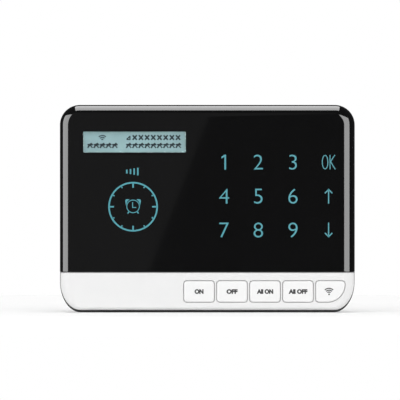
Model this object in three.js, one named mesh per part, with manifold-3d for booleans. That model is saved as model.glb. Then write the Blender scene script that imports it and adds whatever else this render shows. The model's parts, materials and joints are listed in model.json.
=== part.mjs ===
// A wall-hung alarm keypad panel, in millimetres, +Z up, facing -Y from a wall at Y = 0.
// The origin is the middle of the wall bracket's rear face.
// Every piece is drawn in the panel's own upright frame and turned at the end:
// x runs right, y runs up, and z runs out from the wall.
import * as THREE from "three";
import { mergeVertices } from "three/addons/utils/BufferGeometryUtils.js";
import Module from "manifold-3d";

const wasm = await Module();
wasm.setup();

// ---- driving dimensions ----

const HALF_WIDTH = 92.5; // outside of the front shells
const TOP = 64.35;
const BOTTOM = -64.35;
const SPLIT = -40.6; // line between the black cover and the white trim
const CORNER = 12.5; // radius of the upper corners
const FACE = 26; // front face, measured from the wall
const EDGE = { wide: 7.5, deep: 6 }; // rounding round the front face
const SHELL_BACK = 17.3; // rear edge of the front shells
const HOUSING_FRONT = 17; // front edge of the rear housing
const HOUSING_BACK = 3;
const HOUSING_EDGE = { wide: 8, deep: 7 }; // rounding round the housing's back
const HOUSING_LIP = 1.45; // the housing's bottom edge hangs this far below the trim
const TRIM_INSET = 0.4; // the trim's sides stand this far inside the cover and the housing
// the lower corners are quarter ellipses, rounder than the upper ones
const TRIM_CORNER = { wide: 12.8, high: 17.6 };
const HOUSING_LOW_CORNER = { wide: 13, high: 19 };
const WALL = 2.2; // wall thickness of all three shells
const GAP = 0.3; // between pieces that touch on the real thing
const INNER_FACE = FACE - WALL;
const FLOOR = HOUSING_BACK + WALL - 0.2; // inner face of the housing's back wall

const DISPLAY = { x: -45.6, y: 41, width: 64, height: 12.8 };

const KEY = { pitch: 20.65, width: 18.9, height: 13.1, corner: 1.9, x: -5.2, y: -52.6 };
const KEY_SLIT = 0.4; // open gap round a key
const KEY_PROUD = 0.25; // how far a key stands out of the trim
const KEY_TRAVEL = 0.8;
const KEY_SKIRT = { back: INNER_FACE - 0.9, front: INNER_FACE - GAP, grow: 0.55 };
const KEY_NAMES = ["key_on", "key_off", "key_all_on", "key_all_off", "key_wireless"];
const LAST_KEY = { sweep: 11, short: 0.7 }; // its lower right corner, and how much narrower it is

const STUD = { x: 44, rows: [24, -22], neck: 2.2, head: 4, lift: 8 };
const BRACKET = { halfWidth: 62, bottom: -38, top: 40, thick: 2.4 };
const BRACKET_SLOT = { x: 54, rows: [32, -30], width: 4.6, length: 10 };
const WELL = { halfWidth: 20, bottom: -34, top: -16 }; // cable well, through bracket and housing

const BOARD = 1.6; // thickness of a circuit board
const MAIN = { left: -58, right: 74, bottom: -40, top: 50, back: 12 };
const MAIN_FRONT = MAIN.back + BOARD;
const TOUCH_BACK = 20.7;
const TOUCH_FRONT = TOUCH_BACK + BOARD;
const KEY_BOARD_BACK = 16.9;
const SOCKET_BOARD = { left: -70, right: -28, bottom: -61.5, top: -43, back: 8 };
// where parts sit on the front of each board
const MAIN_SEAT = MAIN_FRONT + GAP;
const KEY_SEAT = KEY_BOARD_BACK + BOARD + GAP;
const SOCKET_SEAT = SOCKET_BOARD.back + BOARD + GAP;
const TACT_HEIGHT = 2.8;

const COVER_BOSSES = [[-80, 10], [12, 54], [80, 54], [-80, -30], [80, -30]];
const TRIM_BOSSES = [[-80, -52], [-22, -54]];
const MAIN_POSTS = [[-54, -36], [70, -36], [-54, 46], [70, 46]];
const KEY_BOARD_POSTS = [0.5, 3.5].map((step) => [KEY.x + step * KEY.pitch, KEY.y]);
const SOCKET_POSTS = [[-66, -47], [-31, -47]];
const TOUCH_PEGS = [[-60, -20], [-22, -20], [22, -20], [22, 45], [66, 45], [43, -20]];
const LCD_POST = { x: 37.2, y: 14.2 }; // from the display's centre

const SWITCH = { y: 20, z: 13.5, travel: 3 };
const TAMPER = { x: 20, y: 46.5, travel: 1.5 };
const SPEAKER = { x: -68, y: -8, radius: 14 };
const INLET_X = -60;
const SIM_X = -42;
const MIC = { x: 30, z: 13.8, radius: 2 };
const SOCKET_Z = 11.2; // height of the bottom openings, from the wall

// ---- materials ----

function material(color, roughness, metalness = 0) {
  return new THREE.MeshStandardMaterial({ color, roughness, metalness });
}

const glossBlack = material(0x0b0b0c, 0.08);
const satinBlack = material(0x17181a, 0.45);
const whitePlastic = material(0xf0f0ee, 0.35);
const clearLens = material(0xbfd3d2, 0.05);
const displayGlass = material(0xa9bdbd, 0.2);
const steel = material(0xb9bbbd, 0.35, 1);
const brass = material(0xc9a550, 0.35, 1);
const boardGreen = material(0x1d5a37, 0.5);
const chipBlack = material(0x1b1b1d, 0.6);
const diffuser = material(0xe9edee, 0.5);
const batteryWrap = material(0x3c5f8c, 0.4);
const rubber = material(0x26262a, 0.85);
const amber = material(0xb8792a, 0.4);
const terminalGreen = material(0x2f8f57, 0.45);

// ---- solids ----

function solid(geometry) {
  const bare = geometry.index ? geometry.toNonIndexed() : geometry;
  bare.deleteAttribute("normal");
  bare.deleteAttribute("uv");
  const merged = mergeVertices(bare, 1e-4);
  return new wasm.Manifold(
    new wasm.Mesh({
      numProp: 3,
      vertProperties: merged.attributes.position.array,
      triVerts: new Uint32Array(merged.index.array),
    }),
  );
}

function geometryOf(body) {
  const mesh = body.getMesh();
  const geometry = new THREE.BufferGeometry();
  geometry.setAttribute("position", new THREE.BufferAttribute(mesh.vertProperties, 3));
  geometry.setIndex(new THREE.BufferAttribute(mesh.triVerts, 1));
  geometry.computeVertexNormals();
  return geometry;
}

const cut = (body, ...tools) => tools.reduce((rest, tool) => rest.subtract(tool), body);
const join = (body, ...more) => more.reduce((whole, piece) => whole.add(piece), body);

function block(x0, x1, y0, y1, z0, z1) {
  const box = new THREE.BoxGeometry(x1 - x0, y1 - y0, z1 - z0);
  return solid(box.translate((x0 + x1) / 2, (y0 + y1) / 2, (z0 + z1) / 2));
}

// A cylinder along z, standing at x, y.
function rod(x, y, radius, z0, z1, sides = 16) {
  const bar = new THREE.CylinderGeometry(radius, radius, z1 - z0, sides);
  return solid(bar.rotateX(Math.PI / 2).translate(x, y, (z0 + z1) / 2));
}

// A cylinder along y, standing at x, z.
function uprightRod(x, z, radius, y0, y1, sides = 16) {
  const bar = new THREE.CylinderGeometry(radius, radius, y1 - y0, sides);
  return solid(bar.translate(x, (y0 + y1) / 2, z));
}

// Corners run bottom left, bottom right, top right, top left. Each is a radius,
// or { wide, high } for a quarter ellipse.
function roundedBox(left, right, bottom, top, corners) {
  const four = Array.isArray(corners) ? corners : [corners, corners, corners, corners];
  const [bl, br, tr, tl] = four.map((c) => (typeof c === "number" ? { wide: c, high: c } : c));
  const turn = Math.PI / 2;
  const shape = new THREE.Shape();
  shape.absellipse(left + bl.wide, bottom + bl.high, bl.wide, bl.high, 2 * turn, 3 * turn);
  shape.absellipse(right - br.wide, bottom + br.high, br.wide, br.high, 3 * turn, 4 * turn);
  shape.absellipse(right - tr.wide, top - tr.high, tr.wide, tr.high, 0, turn);
  shape.absellipse(left + tl.wide, top - tl.high, tl.wide, tl.high, turn, 2 * turn);
  return shape;
}

// An arc gets twice its curve segments as chords.
function plate(shape, z0, z1, cornerSteps = 2) {
  const flat = { depth: z1 - z0, bevelEnabled: false, curveSegments: cornerSteps };
  return solid(new THREE.ExtrudeGeometry(shape, flat).translate(0, 0, z0));
}

// A slab with its front edge rounded (edge.deep along z, edge.wide across it).
function roundFronted(shape, z0, z1, edge, cornerSteps = 4, edgeSteps = 4) {
  const soft = new THREE.ExtrudeGeometry(shape, {
    depth: z1 - edge.deep - z0,
    bevelThickness: edge.deep,
    bevelSize: edge.wide,
    bevelOffset: -edge.wide,
    bevelSegments: edgeSteps,
    curveSegments: cornerSteps,
  });
  const whole = solid(soft.translate(0, 0, z0));
  return cut(whole, block(-200, 200, -200, 200, z0 - edge.deep - 1, z0));
}

function roundBacked(shape, z0, z1, edge) {
  const soft = new THREE.ExtrudeGeometry(shape, {
    depth: z1 - edge.deep - z0,
    bevelThickness: edge.deep,
    bevelSize: edge.wide,
    bevelOffset: -edge.wide,
    bevelSegments: 4,
    curveSegments: 4,
  });
  const whole = solid(soft.translate(0, 0, z0 + edge.deep));
  return cut(whole, block(-200, 200, -200, 200, z1, z1 + edge.deep + 1));
}

const upright = new THREE.Group();
upright.rotation.x = Math.PI / 2;

function place(name, body, finish, x = 0, y = 0, z = 0) {
  const mesh = new THREE.Mesh(geometryOf(body), finish);
  mesh.name = name;
  mesh.position.set(x, y, z);
  upright.add(mesh);
  return mesh;
}

// ---- outlines shared by the shells ----

function frontOutline(inset) {
  return roundedBox(
    inset - HALF_WIDTH, HALF_WIDTH - inset, BOTTOM + inset, TOP - inset, CORNER - inset,
  );
}

// An elliptical corner inside an inset outline keeps its width, so its bevel can't fold over.
const insetCorner = (corner, inset) => ({ wide: corner.wide, high: corner.high - inset });

function trimOutline(inset) {
  const side = TRIM_INSET + inset;
  return roundedBox(
    side - HALF_WIDTH, HALF_WIDTH - side, BOTTOM + inset, TOP - inset,
    insetCorner(TRIM_CORNER, inset),
  );
}

function housingOutline(inset) {
  const [low, high] = [insetCorner(HOUSING_LOW_CORNER, inset), CORNER - inset];
  return roundedBox(
    inset - HALF_WIDTH, HALF_WIDTH - inset, BOTTOM - HOUSING_LIP + inset, TOP - inset,
    [low, low, high, high],
  );
}

// A key's outline about the key's own middle; the last key's lower right corner is a wide sweep.
function keyOutline(last, grow) {
  const r = KEY.corner + grow;
  const corners = last ? [r, LAST_KEY.sweep + grow, r, r] : r;
  const left = -KEY.width / 2 - grow;
  const right = KEY.width / 2 + grow - (last ? LAST_KEY.short : 0);
  const halfHeight = KEY.height / 2 + grow;
  return roundedBox(left, right, -halfHeight, halfHeight, corners);
}

const keyX = (index) => KEY.x + index * KEY.pitch;
const isLastKey = (index) => index === KEY_NAMES.length - 1;

// ---- wall bracket ----

function wallBracket() {
  const shape = roundedBox(
    -BRACKET.halfWidth, BRACKET.halfWidth, BRACKET.bottom, BRACKET.top, 8,
  );
  let body = plate(shape, 0, BRACKET.thick);
  for (const side of [-1, 1]) {
    for (const y of BRACKET_SLOT.rows) {
      const half = BRACKET_SLOT.width / 2;
      const slot = roundedBox(
        -half, half, -BRACKET_SLOT.length / 2, BRACKET_SLOT.length / 2, half - 0.01,
      );
      body = cut(body, plate(slot, -1, 4).translate([side * BRACKET_SLOT.x, y, 0]));
    }
    for (const y of STUD.rows) {
      const neckEnd = FLOOR + GAP;
      body = join(
        body,
        rod(side * STUD.x, y, STUD.neck, BRACKET.thick - 0.5, neckEnd + 0.5),
        rod(side * STUD.x, y, STUD.head, neckEnd, neckEnd + 1.6),
      );
    }
  }
  const window = roundedBox(-WELL.halfWidth, WELL.halfWidth, WELL.bottom, WELL.top, 3);
  return cut(body, plate(window, -1, 4));
}

// ---- rear housing ----

function keyhole(x, y) {
  const slack = 0.5;
  return join(
    rod(x, y - STUD.lift, STUD.head + slack, HOUSING_BACK - 1, FLOOR + 1),
    rod(x, y, STUD.neck + slack, HOUSING_BACK - 1, FLOOR + 1),
    block(
      x - STUD.neck - slack, x + STUD.neck + slack, y - STUD.lift, y,
      HOUSING_BACK - 1, FLOOR + 1,
    ),
  );
}

function screwPost(x, y, top) {
  return cut(rod(x, y, 3, FLOOR - 0.5, top, 10), rod(x, y, 1.55, FLOOR, top + 1, 8));
}

const SCREW_TUBE_TOP = 8;

function rearHousing() {
  const shell = roundBacked(housingOutline(0), HOUSING_BACK, HOUSING_FRONT, HOUSING_EDGE);
  const hollow = roundBacked(housingOutline(WALL), FLOOR, HOUSING_FRONT + 1, HOUSING_EDGE);
  let body = cut(shell, hollow);
  for (const [x, y] of [...COVER_BOSSES, ...TRIM_BOSSES])
    body = join(body, rod(x, y, 4.4, FLOOR - 0.5, SCREW_TUBE_TOP, 10));
  for (const [x, y] of [...COVER_BOSSES, ...TRIM_BOSSES]) {
    body = cut(
      body,
      rod(x, y, 3.3, HOUSING_BACK - 1, SCREW_TUBE_TOP - 2, 12),
      rod(x, y, 1.7, HOUSING_BACK, SCREW_TUBE_TOP + 1, 8),
    );
  }
  for (const [x, y] of MAIN_POSTS) body = join(body, screwPost(x, y, MAIN.back - GAP));
  for (const [x, y] of KEY_BOARD_POSTS)
    body = join(body, screwPost(x, y, KEY_BOARD_BACK - GAP));
  for (const [x, y] of SOCKET_POSTS)
    body = join(body, screwPost(x, y, SOCKET_BOARD.back - GAP));
  for (const side of [-1, 1]) {
    for (const y of STUD.rows) body = cut(body, keyhole(side * STUD.x, y));
    // low ribs that keep the battery in place
    body = join(body, block(side * 35 - 0.8, side * 35 + 0.8, 2, 30, FLOOR - 0.5, FLOOR + 4));
  }
  const through = [HOUSING_BACK - 1, FLOOR + 1];
  const window = roundedBox(-WELL.halfWidth, WELL.halfWidth, WELL.bottom, WELL.top, 3);
  body = cut(body, plate(window, ...through));
  for (let i = -2; i <= 2; i += 1) {
    const reach = Math.sqrt(10.5 ** 2 - (4 * i) ** 2);
    const [x, y] = [SPEAKER.x, SPEAKER.y + 4 * i];
    body = cut(body, block(x - reach, x + reach, y - 0.7, y + 0.7, ...through));
  }
  for (let i = 0; i < 6; i += 1) {
    const x = 30 + 5 * i;
    body = cut(body, block(x - 0.7, x + 0.7, 50, 56, ...through));
  }
  const wallOut = BOTTOM - HOUSING_LIP - 1;
  const wallIn = BOTTOM - HOUSING_LIP + WALL + 0.5;
  return cut(
    body,
    rod(TAMPER.x, TAMPER.y, 2.5, ...through),
    block(INLET_X - 4.3, INLET_X + 4.3, wallOut, wallIn, SOCKET_Z - 1.8, SOCKET_Z + 1.8),
    block(SIM_X - 8, SIM_X + 8, wallOut, wallIn, SOCKET_Z - 0.9, SOCKET_Z + 0.9),
    uprightRod(MIC.x, MIC.z, 0.8, wallOut, wallIn, 8),
    block(88, HALF_WIDTH + 1, SWITCH.y - 5.5, SWITCH.y + 2.5, SWITCH.z - 1.6, SWITCH.z + 1.6),
  );
}

// ---- front shells ----

const HALF_SEAM = GAP / 2;

const frontSlab = () => roundFronted(frontOutline(0), SHELL_BACK, FACE, EDGE);
const trimSlab = () => roundFronted(trimOutline(0), SHELL_BACK, FACE, EDGE);
const trimHollow = () => roundFronted(trimOutline(WALL), SHELL_BACK - 1, INNER_FACE, EDGE);
const frontHollow = () => roundFronted(frontOutline(WALL), SHELL_BACK - 1, INNER_FACE, EDGE);
const below = (y) => block(-200, 200, -200, y, 0, 40);
const above = (y) => block(-200, 200, y, 200, 0, 40);

// A boss that reaches from the front wall back to a screw tube of the housing.
function boss(x, y) {
  const back = SCREW_TUBE_TOP + GAP;
  return cut(rod(x, y, 3.4, back, INNER_FACE + 0.5, 10), rod(x, y, 1.55, back - 1, 18, 8));
}

function peg(x, y, back, radius = 1) {
  return rod(x, y, radius, back, INNER_FACE + 0.5, 8);
}

const TONGUE = { left: 60, right: 76, reach: -36, front: 18.9 };

function frontCover() {
  const hollow = cut(frontHollow(), below(SPLIT + HALF_SEAM + WALL));
  let body = cut(frontSlab(), hollow, below(SPLIT + HALF_SEAM));
  for (const [x, y] of COVER_BOSSES) body = join(body, boss(x, y));
  for (const [x, y] of TOUCH_PEGS) body = join(body, peg(x, y, TOUCH_BACK - 0.8));
  for (const sx of [-1, 1]) {
    for (const sy of [-1, 1]) {
      const [x, y] = [DISPLAY.x + sx * LCD_POST.x, DISPLAY.y + sy * LCD_POST.y];
      body = join(body, peg(x, y, 18.6, 1.9), peg(x, y, 16.2));
    }
  }
  const halfWidth = DISPLAY.width / 2 + GAP;
  const halfHeight = DISPLAY.height / 2 + GAP;
  return cut(
    body,
    block(
      DISPLAY.x - halfWidth, DISPLAY.x + halfWidth,
      DISPLAY.y - halfHeight, DISPLAY.y + halfHeight, INNER_FACE - 1, FACE + 1,
    ),
    block(
      TONGUE.left - GAP, TONGUE.right + GAP, SPLIT - 1, SPLIT + WALL + 1,
      SHELL_BACK - 1, TONGUE.front + GAP,
    ),
  );
}

function lowerTrim() {
  const hollow = cut(trimHollow(), above(SPLIT - HALF_SEAM - WALL));
  let body = cut(trimSlab(), hollow, above(SPLIT - HALF_SEAM));
  for (const [x, y] of TRIM_BOSSES) body = join(body, boss(x, y));
  KEY_NAMES.forEach((name, index) => {
    const last = isLastKey(index);
    const hole = plate(keyOutline(last, KEY_SLIT), INNER_FACE - 1, FACE + 1);
    const pocket = plate(keyOutline(last, KEY_SKIRT.grow + GAP), SHELL_BACK, INNER_FACE);
    body = cut(body, join(hole, pocket).translate([keyX(index), KEY.y, 0]));
  });
  return join(
    body,
    block(
      TONGUE.left, TONGUE.right, SPLIT - HALF_SEAM - 1, TONGUE.reach, SHELL_BACK, TONGUE.front,
    ),
  );
}

// ---- push keys ----

// A key about its own centre: a softly edged cap, a skirt that stops it, and a stem.
function key(last) {
  const cap = roundFronted(
    keyOutline(last, 0), KEY_SKIRT.front - 0.2, FACE + KEY_PROUD, { wide: 0.7, deep: 0.5 }, 2, 2,
  );
  return join(
    cap,
    plate(keyOutline(last, KEY_SKIRT.grow), KEY_SKIRT.back, KEY_SKIRT.front),
    rod(0, 0, 2, KEY_SEAT + TACT_HEIGHT + KEY_TRAVEL + GAP, KEY_SKIRT.back + 0.2, 12),
  );
}

function tactSwitch() {
  return join(block(-3, 3, -3, 3, 0, 2.2), rod(0, 0, 1.6, 2, TACT_HEIGHT, 12));
}

// ---- display module ----

function displayWindow() {
  const [w, h] = [DISPLAY.width / 2, DISPLAY.height / 2];
  return plate(roundedBox(-w, w, -h, h, 0.4), 0, WALL - 0.05, 2);
}

function displayBezel() {
  const lip = 0.5;
  return cut(
    block(-35.6, 35.6, -12.6, 12.6, 0, 5),
    block(-34.7, 34.7, -11.4, 11.4, -1, 5 - lip),
    block(-32.6, 32.6, -7, 7, 4, 6),
  );
}

function displayBoard() {
  let body = block(-40, 40, -17, 17, 0, BOARD);
  for (const sx of [-1, 1])
    for (const sy of [-1, 1])
      body = cut(body, rod(sx * LCD_POST.x, sy * LCD_POST.y, 1.35, -1, 3, 8));
  return body;
}

// ---- boards ----

// The L-shaped outline of the touch board and of the light guide in front of it.
function touchOutline(inset) {
  const [left, right, bottom, shoulder, top, inner] = [-75.5, 84, -24, 24.4, 49, -6];
  const shape = new THREE.Shape();
  shape.moveTo(left + inset, bottom + inset);
  shape.lineTo(right - inset, bottom + inset);
  shape.lineTo(right - inset, top - inset);
  shape.lineTo(inner + inset, top - inset);
  shape.lineTo(inner + inset, shoulder - inset);
  shape.lineTo(left + inset, shoulder - inset);
  return shape;
}

function pegged(body) {
  const holes = TOUCH_PEGS.map(([x, y]) => rod(x, y, 1.35, 15, 30, 8));
  return cut(body, ...holes);
}

function drilled(body, points) {
  return cut(body, ...points.map(([x, y]) => rod(x, y, 1.55, 0, 30, 8)));
}

const mainBoard = () =>
  drilled(block(MAIN.left, MAIN.right, MAIN.bottom, MAIN.top, MAIN.back, MAIN_FRONT), MAIN_POSTS);

const keyBoard = () =>
  drilled(
    block(-15, 82, -60.5, -44.5, KEY_BOARD_BACK, KEY_BOARD_BACK + BOARD),
    KEY_BOARD_POSTS,
  );

function socketBoard() {
  const { left, right, bottom, top, back } = SOCKET_BOARD;
  return drilled(block(left, right, bottom, top, back, back + BOARD), SOCKET_POSTS);
}

// ---- fasteners: a pan head facing +z over a shank that runs back from z = 0 ----

function screw(shankRadius, length, headRadius, headHeight) {
  const profile = [
    [0, -length], [shankRadius * 0.5, -length], [shankRadius, 1 - length], [shankRadius, 0],
    [headRadius, 0], [headRadius, headHeight * 0.5], [headRadius * 0.7, headHeight], [0, headHeight],
  ].map(([r, y]) => new THREE.Vector2(r, y));
  const turned = solid(new THREE.LatheGeometry(profile, 8).rotateX(Math.PI / 2));
  const arm = headRadius * 0.6;
  const deep = headHeight * 0.55;
  return cut(
    turned,
    block(-arm, arm, -0.25, 0.25, headHeight - deep, headHeight + 1),
    block(-0.25, 0.25, -arm, arm, headHeight - deep, headHeight + 1),
  );
}

// ---- parts on the boards ----

function shieldCan(width, height, thick) {
  const lid = block(-width / 2, width / 2, -height / 2, height / 2, 0, thick);
  const step = 0.8;
  const half = [width / 2 - step, height / 2 - step];
  const groove = cut(
    block(-half[0], half[0], -half[1], half[1], thick - 0.3, thick + 1),
    block(-half[0] + 0.6, half[0] - 0.6, -half[1] + 0.6, half[1] - 0.6, thick - 1, thick + 2),
  );
  return cut(lid, groove);
}

function radioModule() {
  let body = join(block(-9, 9, -12.5, 12.5, 0, 0.9), block(-8, 8, -11.5, 5.5, 0.8, 3.2));
  for (let i = 0; i < 4; i += 1) {
    const x = -7 + 4 * i;
    body = join(body, block(x, x + 2.6, 7, 7.8, 0.8, 1.1));
  }
  return body;
}

function chip(size, thick) {
  const body = roundFronted(
    roundedBox(-size / 2, size / 2, -size / 2, size / 2, 0.5), 0, thick, { wide: 0.3, deep: 0.4 }, 1, 1,
  );
  const corner = size / 2 - 1.8; // the dot that marks the first pin
  return cut(body, rod(-corner, corner, 0.7, thick - 0.2, thick + 1, 10));
}

function buzzer() {
  return cut(rod(0, 0, 6, 0, 6.2, 20), rod(0, 0, 1.3, 5, 7, 12));
}

function capacitor() {
  return join(rod(0, 0, 4, 0, 5.6, 16), block(-4.2, 4.2, -4.2, 4.2, 0, 0.8));
}

function receiver() {
  let body = block(-15, 15, -6.5, 6.5, 0, 1);
  body = join(body, block(-12, -6, -4, 4, 0.9, 2.4), block(-2, 5, -3, 3, 0.9, 2));
  return join(body, rod(10, 0, 2.6, 0.9, 4.4, 12));
}

function terminalBlock() {
  const ways = 6;
  const pitch = 5;
  const length = ways * pitch;
  let body = block(-length / 2, length / 2, -5, 5, 0, 5.4);
  for (let i = 0; i < ways; i += 1) {
    const x = (i - (ways - 1) / 2) * pitch;
    body = cut(
      body,
      rod(x, 1.8, 1.5, -1, 2.2, 8),
      block(x - 1.6, x + 1.6, -6, -2.6, 1.2, 4.4),
    );
  }
  return body;
}

function inlet() {
  const shell = plate(roundedBox(-3.8, 3.8, -1.35, 1.35, [0.9, 0.9, 0.5, 0.5]), 0, 5, 2);
  const mouth = plate(roundedBox(-3.4, 3.4, -0.95, 0.95, [0.7, 0.7, 0.3, 0.3]), 1.2, 7, 2);
  return join(cut(shell, mouth), block(-2.2, 2.2, -0.3, 0.35, 1, 4.4));
}

function simSocket() {
  return cut(
    block(-7.5, 7.5, 0, 14, 0, 2),
    block(-6.4, 6.4, -1, 12, 0.6, 1.5),
    block(-4.4, 4.4, 3, 9, 1, 3),
  );
}

function speakerUnit() {
  const r = SPEAKER.radius;
  const profile = [
    [0, 0.8], [r * 0.45, 0.8], [r * 0.82, 0], [r, 0], [r, 1.6], [r * 0.9, 2.4],
    [r * 0.55, 3.2], [r * 0.55, 5], [0, 5],
  ].map(([x, y]) => new THREE.Vector2(x, y));
  return solid(new THREE.LatheGeometry(profile, 24).rotateX(Math.PI / 2));
}

function batteryPack() {
  return roundFronted(
    roundedBox(-33, 33, -18, 18, 2.2), 0, 6, { wide: 1.4, deep: 1.4 }, 3, 2,
  );
}

function microphoneBoot() {
  const inside = uprightRod(0, 0, MIC.radius + GAP, -1, 4, 12);
  return cut(uprightRod(0, 0, MIC.radius + 0.9, 0, 2.4, 12), inside);
}

// A wire coil along x, wound from a four-sided section.
function antennaCoil() {
  const turns = 7;
  const length = 34;
  const radius = 2.4;
  class Winding extends THREE.Curve {
    getPoint(t, target = new THREE.Vector3()) {
      const angle = 2 * Math.PI * turns * t;
      return target.set(length * (t - 0.5), radius * Math.cos(angle), radius * Math.sin(angle));
    }
  }
  const section = new THREE.Shape();
  section.absarc(0, 0, 0.5, 0, 2 * Math.PI);
  const wound = { extrudePath: new Winding(), steps: turns * 9, curveSegments: 2 };
  return solid(new THREE.ExtrudeGeometry(section, wound));
}

// A flat ribbon drawn from the side (u forward, v up) and given its width along x.
function ribbonCable() {
  const thick = 0.4;
  const spine = new THREE.CatmullRomCurve3(
    [[20, -14], [18.6, -18], [18.4, -26], [16.4, -31], [14.6, -33]].map(
      ([z, y]) => new THREE.Vector3(0, y, z),
    ),
  );
  const section = new THREE.Shape();
  section.moveTo(-8, -thick / 2);
  section.lineTo(8, -thick / 2);
  section.lineTo(8, thick / 2);
  section.lineTo(-8, thick / 2);
  const laid = new THREE.ExtrudeGeometry(section, { extrudePath: spine, steps: 16 });
  return solid(laid);
}

// ---- side switch and wall tamper switch ----

function switchBody() {
  return cut(
    block(83, 89.2, SWITCH.y - 8.5, SWITCH.y + 5.5, SWITCH.z - 2.9, SWITCH.z + 2.9),
    block(86, 90, SWITCH.y - 5.5, SWITCH.y + 2.5, SWITCH.z - 1.6, SWITCH.z + 1.6),
  );
}

function switchKnob() {
  let body = block(86.5, 91.9, SWITCH.y - 1.9, SWITCH.y + 1.9, SWITCH.z - 1.2, SWITCH.z + 1.2);
  for (const dy of [-1, 0, 1])
    body = cut(
      body,
      block(91.5, 93, SWITCH.y + dy - 0.2, SWITCH.y + dy + 0.2, SWITCH.z - 2, SWITCH.z + 2),
    );
  return body;
}

function tamperPlunger() {
  const profile = [
    [0, 0.3], [1.2, 0.3], [2, 0.9], [2, FLOOR + GAP], [3.2, FLOOR + GAP], [3.2, FLOOR + 1.2],
    [0, FLOOR + 1.2],
  ].map(([r, y]) => new THREE.Vector2(r, y));
  return solid(new THREE.LatheGeometry(profile, 14).rotateX(Math.PI / 2));
}

function tamperBody() {
  const back = FLOOR + 1.2 + TAMPER.travel + GAP;
  return block(-3.6, 3.6, -3.2, 3.2, back, MAIN.back - GAP);
}

// ---- assembly ----

place("wall_bracket", wallBracket(), steel);
place("rear_housing", rearHousing(), satinBlack);
place("front_cover", frontCover(), glossBlack);
place("lower_trim", lowerTrim(), whitePlastic);

place("display_window", displayWindow(), clearLens, DISPLAY.x, DISPLAY.y, INNER_FACE);
place("lcd_bezel", displayBezel(), steel, DISPLAY.x, DISPLAY.y, 18.6);
place("lcd_glass", block(-34.2, 34.2, -10.9, 10.9, 0, 1.4), displayGlass,
  DISPLAY.x, DISPLAY.y, 21.4);
place("lcd_backlight", block(-34.2, 34.2, -10.9, 10.9, 0, 2.1), diffuser,
  DISPLAY.x, DISPLAY.y, 18.9);
place("lcd_board", displayBoard(), boardGreen, DISPLAY.x, DISPLAY.y, 16.7);

place("touch_board", pegged(plate(touchOutline(0), TOUCH_BACK, TOUCH_FRONT)), boardGreen);
place(
  "light_guide", pegged(plate(touchOutline(0.6), TOUCH_FRONT + GAP, TOUCH_FRONT + 1.1)), diffuser,
);
place("main_board", mainBoard(), boardGreen);
place("button_board", keyBoard(), boardGreen);
place("socket_board", socketBoard(), boardGreen);

KEY_NAMES.forEach((name, index) => {
  place(name, key(isLastKey(index)), whitePlastic, keyX(index), KEY.y);
  place(`tact_switch_${index + 1}`, tactSwitch(), chipBlack, keyX(index), KEY.y, KEY_SEAT);
});

place("radio_shield", shieldCan(30, 24, 3), steel, 34, 26, MAIN_SEAT);
place("wireless_module", radioModule(), steel, 58, -8, MAIN_SEAT);
place("main_chip", chip(14, 1.4), chipBlack, 8, -6, MAIN_SEAT);
place("rf_receiver", receiver(), boardGreen, -36, -22, MAIN_SEAT);
place("siren_buzzer", buzzer(), chipBlack, -30, 6, MAIN_SEAT);
place("capacitor", capacitor(), chipBlack, 34, -6, MAIN_SEAT);
place("terminal_block", terminalBlock(), terminalGreen, 0, -25, MAIN.back - GAP - 5.4);
place("battery_pack", batteryPack(), batteryWrap, 0, 16, FLOOR + GAP);
place("speaker", speakerUnit(), chipBlack, SPEAKER.x, SPEAKER.y, FLOOR + GAP);
place("antenna_coil", antennaCoil(), brass, 40, 56.5, 14);
place("flat_antenna", block(-20, 20, 0, 1, -2, 2), amber, -30, 60.4, 14.6);
place("ribbon_cable", ribbonCable(), amber, 10, 0, 0);

const inletMesh = place("power_inlet", inlet(), steel, INLET_X, -57.6, SOCKET_Z);
inletMesh.rotation.x = Math.PI / 2;
place("sim_socket", simSocket(), steel, SIM_X, -61.8, SOCKET_SEAT);
place("microphone", uprightRod(0, 0, MIC.radius, 0, 1.6, 12), chipBlack, MIC.x, -63.1, MIC.z);
place("microphone_boot", microphoneBoot(), rubber, MIC.x, -63.1, MIC.z);

place("power_switch_body", switchBody(), chipBlack);
place("power_switch_knob", switchKnob(), satinBlack);
place("tamper_switch_body", tamperBody(), chipBlack, TAMPER.x, TAMPER.y);
place("tamper_plunger", tamperPlunger(), satinBlack, TAMPER.x, TAMPER.y);

[...COVER_BOSSES, ...TRIM_BOSSES].forEach(([x, y], index) => {
  const mesh = place(`case_screw_${index + 1}`, screw(1.25, 9, 2.9, 1.8), steel,
    x, y, SCREW_TUBE_TOP - 2 - GAP);
  mesh.rotation.y = Math.PI;
});
MAIN_POSTS.forEach(([x, y], index) => {
  place(`board_screw_${index + 1}`, screw(1.2, 6.5, 2.5, 1.6), steel, x, y, MAIN_SEAT);
});
KEY_BOARD_POSTS.forEach(([x, y], index) => {
  place(`key_board_screw_${index + 1}`, screw(1.2, 6, 2.3, 1.5), steel,
    x, y, KEY_SEAT);
});
SOCKET_POSTS.forEach(([x, y], index) => {
  place(`socket_board_screw_${index + 1}`, screw(1.2, 3.6, 2.3, 1.5), steel,
    x, y, SOCKET_SEAT);
});

const panel = new THREE.Group();
panel.add(upright);

export default panel;
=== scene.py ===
"""The looks of a wall-hung alarm keypad panel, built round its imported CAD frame.

Shapes are drawn in the panel's own millimetres: x runs right, y runs up and z runs out from the wall.
"""

import json
import math

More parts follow.
